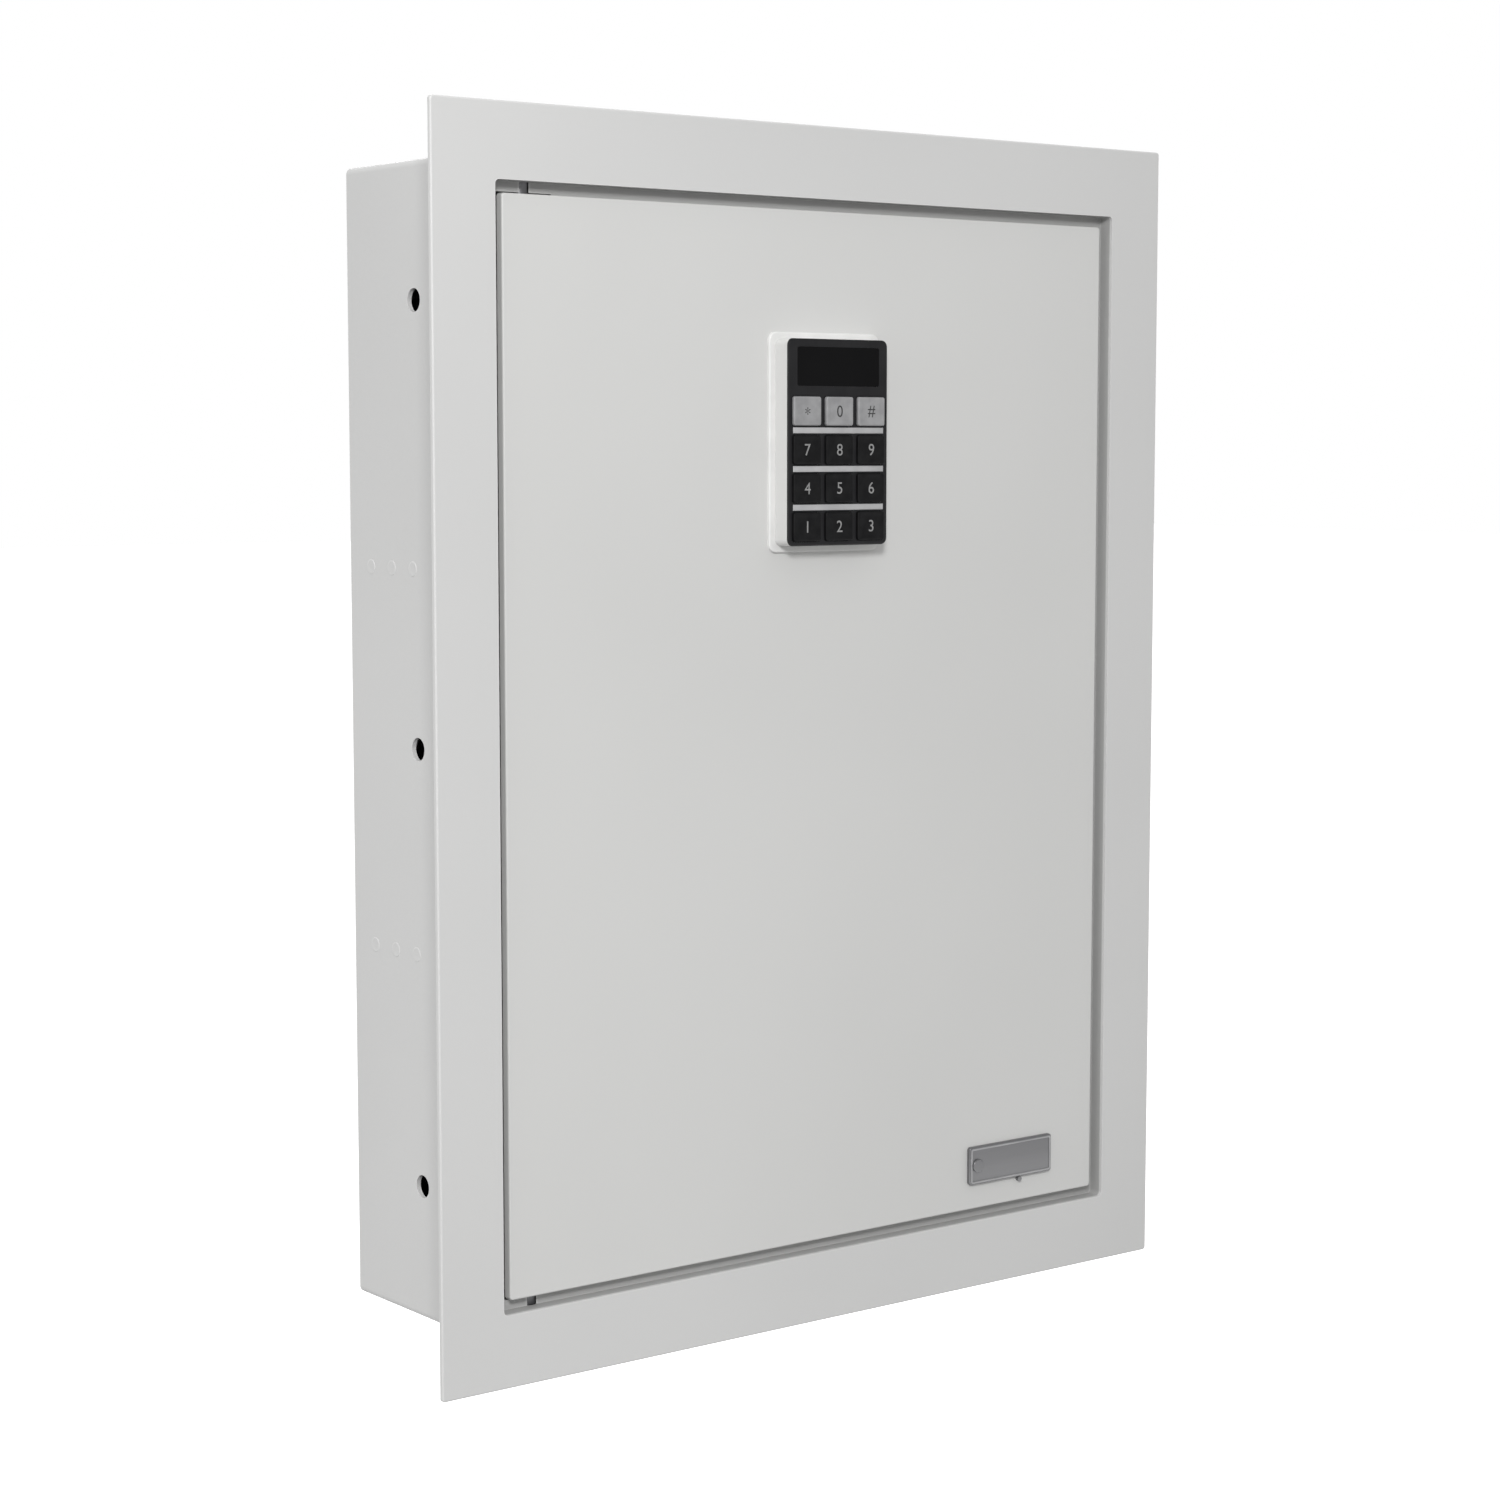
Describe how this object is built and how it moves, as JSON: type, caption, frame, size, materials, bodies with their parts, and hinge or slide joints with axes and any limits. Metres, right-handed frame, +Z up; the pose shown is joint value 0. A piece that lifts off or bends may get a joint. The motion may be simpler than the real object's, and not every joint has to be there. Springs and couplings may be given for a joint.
{
  "type": "wall safe",
  "caption": "Flush wall safe with a wide trim flange, a recessed hinged door with electronic keypad, motor-driven bolts, key override and removable shelves.",
  "frame": {"origin": "centre of the wall flange's back face, which lies against the wall", "axes": "+Z up, +Y into the wall, +X to the right as one stands before the door"},
  "size_m": [0.406, 0.1132, 0.533],
  "materials": {
    "cabinet_paint": "light grey powder coat, fine texture",
    "door_paint": "light grey powder coat, fine texture",
    "zinc_plate": "zinc plated sheet, satin",
    "bright_steel": "turned and polished",
    "screw_steel": "nickel plated",
    "spring_steel": "drawn wire",
    "bush_bronze": "sintered bronze",
    "lock_metal": "satin chromed",
    "motor_can": "drawn can",
    "gear_case": "moulded",
    "carpet": "needle felt",
    "rubber_black": "moulded",
    "keypad_black": "satin moulded",
    "keypad_pale": "satin moulded",
    "key_dark": "coated silicone",
    "key_grey": "coated silicone",
    "window_smoke": "polished",
    "display_glass": "polished",
    "circuit_board": "solder mask",
    "box_plastic": "fine spark texture",
    "lead_sleeve": "flexible sleeve",
    "cell_sleeve": "printed film, plain",
    "badge_metal": "satin dark grey, blank",
    "button_red": "moulded"
  },
  "bodies": {
    "cabinet": {"wall_flange": "cabinet_paint", "body_wrap": "cabinet_paint", "back_panel": "cabinet_paint", "door_frame": "cabinet_paint", "strike_plate": "zinc_plate", "pivot_brackets": "zinc_plate", "pivot_bushes": "bush_bronze", "shelves": "cabinet_paint", "shelf_rails": "cabinet_paint", "floor_mat": "carpet", "door_bumpers": "rubber_black"},
    "door": {"door_panel": "door_paint", "inner_cover": "door_paint", "cover_standoffs": "zinc_plate", "cover_screws": "screw_steel", "hinge_lugs": "zinc_plate", "hinge_pins": "bright_steel", "hinge_springs": "spring_steel", "bolt_guide": "zinc_plate", "guide_screws": "bright_steel", "gearbox": "gear_case", "drive_motor": "motor_can", "control_box": "box_plastic", "control_board": "circuit_board", "wiring": "lead_sleeve", "lead_grommet": "rubber_black", "keypad_base": "keypad_pale", "keypad_housing": "keypad_black", "keypad_board": "circuit_board", "key_mat": "rubber_black", "display_window": "window_smoke", "display_module": "display_glass", "keypad_screws": "screw_steel", "lock_barrel": "lock_metal", "lock_nut": "bright_steel", "badge_rivet": "screw_steel", "battery_holder": "box_plastic", "batteries": "cell_sleeve", "battery_contacts": "screw_steel", "reset_switch": "box_plastic"},
    "bolt_carriage": {"bolt_bar": "zinc_plate", "live_bolts": "bright_steel"},
    "pinion": {"drive_pinion": "bright_steel"},
    "override_core": {"lock_plug": "lock_metal", "lock_cam": "bright_steel"},
    "badge_plate": {"badge": "badge_metal"},
    "battery_lid": {"battery_cover": "box_plastic"},
    "code_button": {"reset_button": "button_red"},
    "key_1": {"key_1": "key_dark"},
    "key_2": {"key_2": "key_dark"},
    "key_3": {"key_3": "key_dark"},
    "key_4": {"key_4": "key_dark"},
    "key_5": {"key_5": "key_dark"},
    "key_6": {"key_6": "key_dark"},
    "key_7": {"key_7": "key_dark"},
    "key_8": {"key_8": "key_dark"},
    "key_9": {"key_9": "key_dark"},
    "key_clear": {"key_clear": "key_grey"},
    "key_0": {"key_0": "key_grey"},
    "key_enter": {"key_enter": "key_grey"}
  },
  "joints": [
    {"name": "door_hinge", "type": "hinge", "parent": "cabinet", "child": "door", "pos_m": [-0.1535, 0.01, 0], "axis": [0, 0, -1], "range_deg": [0, 110], "deforming": ["hinge_springs"]},
    {"name": "bolt_slide", "type": "slide", "parent": "door", "child": "bolt_carriage", "axis": [1, 0, 0], "range_m": [0, 0.016]},
    {"name": "pinion_spin", "type": "hinge", "parent": "door", "child": "pinion", "pos_m": [0.086, 0.017, 0.043], "axis": [0, 1, 0], "range_deg": [0, 102]},
    {"name": "override_turn", "type": "hinge", "parent": "door", "child": "override_core", "pos_m": [0.12, 0, -0.209], "axis": [0, 1, 0], "range_deg": [0, 90]},
    {"name": "badge_swing", "type": "hinge", "parent": "door", "child": "badge_plate", "pos_m": [0.093, 0, -0.209], "axis": [0, -1, 0], "range_deg": [0, 95]},
    {"name": "battery_lid_slide", "type": "slide", "parent": "door", "child": "battery_lid", "axis": [0, 0, -1], "range_m": [0, 0.06]},
    {"name": "code_button_press", "type": "slide", "parent": "door", "child": "code_button", "axis": [0, -1, 0], "range_m": [0, 0.0015], "stiffness_N_per_m": 800, "springref_m": -0.0003},
    {"name": "key_1_press", "type": "slide", "parent": "door", "child": "key_1", "axis": [0, 1, 0], "range_m": [0, 0.0009], "stiffness_N_per_m": 1500, "springref_m": -0.0003},
    {"name": "key_2_press", "type": "slide", "parent": "door", "child": "key_2", "axis": [0, 1, 0], "range_m": [0, 0.0009], "stiffness_N_per_m": 1500, "springref_m": -0.0003},
    {"name": "key_3_press", "type": "slide", "parent": "door", "child": "key_3", "axis": [0, 1, 0], "range_m": [0, 0.0009], "stiffness_N_per_m": 1500, "springref_m": -0.0003},
    {"name": "key_4_press", "type": "slide", "parent": "door", "child": "key_4", "axis": [0, 1, 0], "range_m": [0, 0.0009], "stiffness_N_per_m": 1500, "springref_m": -0.0003},
    {"name": "key_5_press", "type": "slide", "parent": "door", "child": "key_5", "axis": [0, 1, 0], "range_m": [0, 0.0009], "stiffness_N_per_m": 1500, "springref_m": -0.0003},
    {"name": "key_6_press", "type": "slide", "parent": "door", "child": "key_6", "axis": [0, 1, 0], "range_m": [0, 0.0009], "stiffness_N_per_m": 1500, "springref_m": -0.0003},
    {"name": "key_7_press", "type": "slide", "parent": "door", "child": "key_7", "axis": [0, 1, 0], "range_m": [0, 0.0009], "stiffness_N_per_m": 1500, "springref_m": -0.0003},
    {"name": "key_8_press", "type": "slide", "parent": "door", "child": "key_8", "axis": [0, 1, 0], "range_m": [0, 0.0009], "stiffness_N_per_m": 1500, "springref_m": -0.0003},
    {"name": "key_9_press", "type": "slide", "parent": "door", "child": "key_9", "axis": [0, 1, 0], "range_m": [0, 0.0009], "stiffness_N_per_m": 1500, "springref_m": -0.0003},
    {"name": "key_clear_press", "type": "slide", "parent": "door", "child": "key_clear", "axis": [0, 1, 0], "range_m": [0, 0.0009], "stiffness_N_per_m": 1500, "springref_m": -0.0003},
    {"name": "key_0_press", "type": "slide", "parent": "door", "child": "key_0", "axis": [0, 1, 0], "range_m": [0, 0.0009], "stiffness_N_per_m": 1500, "springref_m": -0.0003},
    {"name": "key_enter_press", "type": "slide", "parent": "door", "child": "key_enter", "axis": [0, 1, 0], "range_m": [0, 0.0009], "stiffness_N_per_m": 1500, "springref_m": -0.0003}
  ],
  "couplings": [
    {"joint": "pinion_spin", "follows": "bolt_slide", "rad_per_m": 111.11}
  ]
}
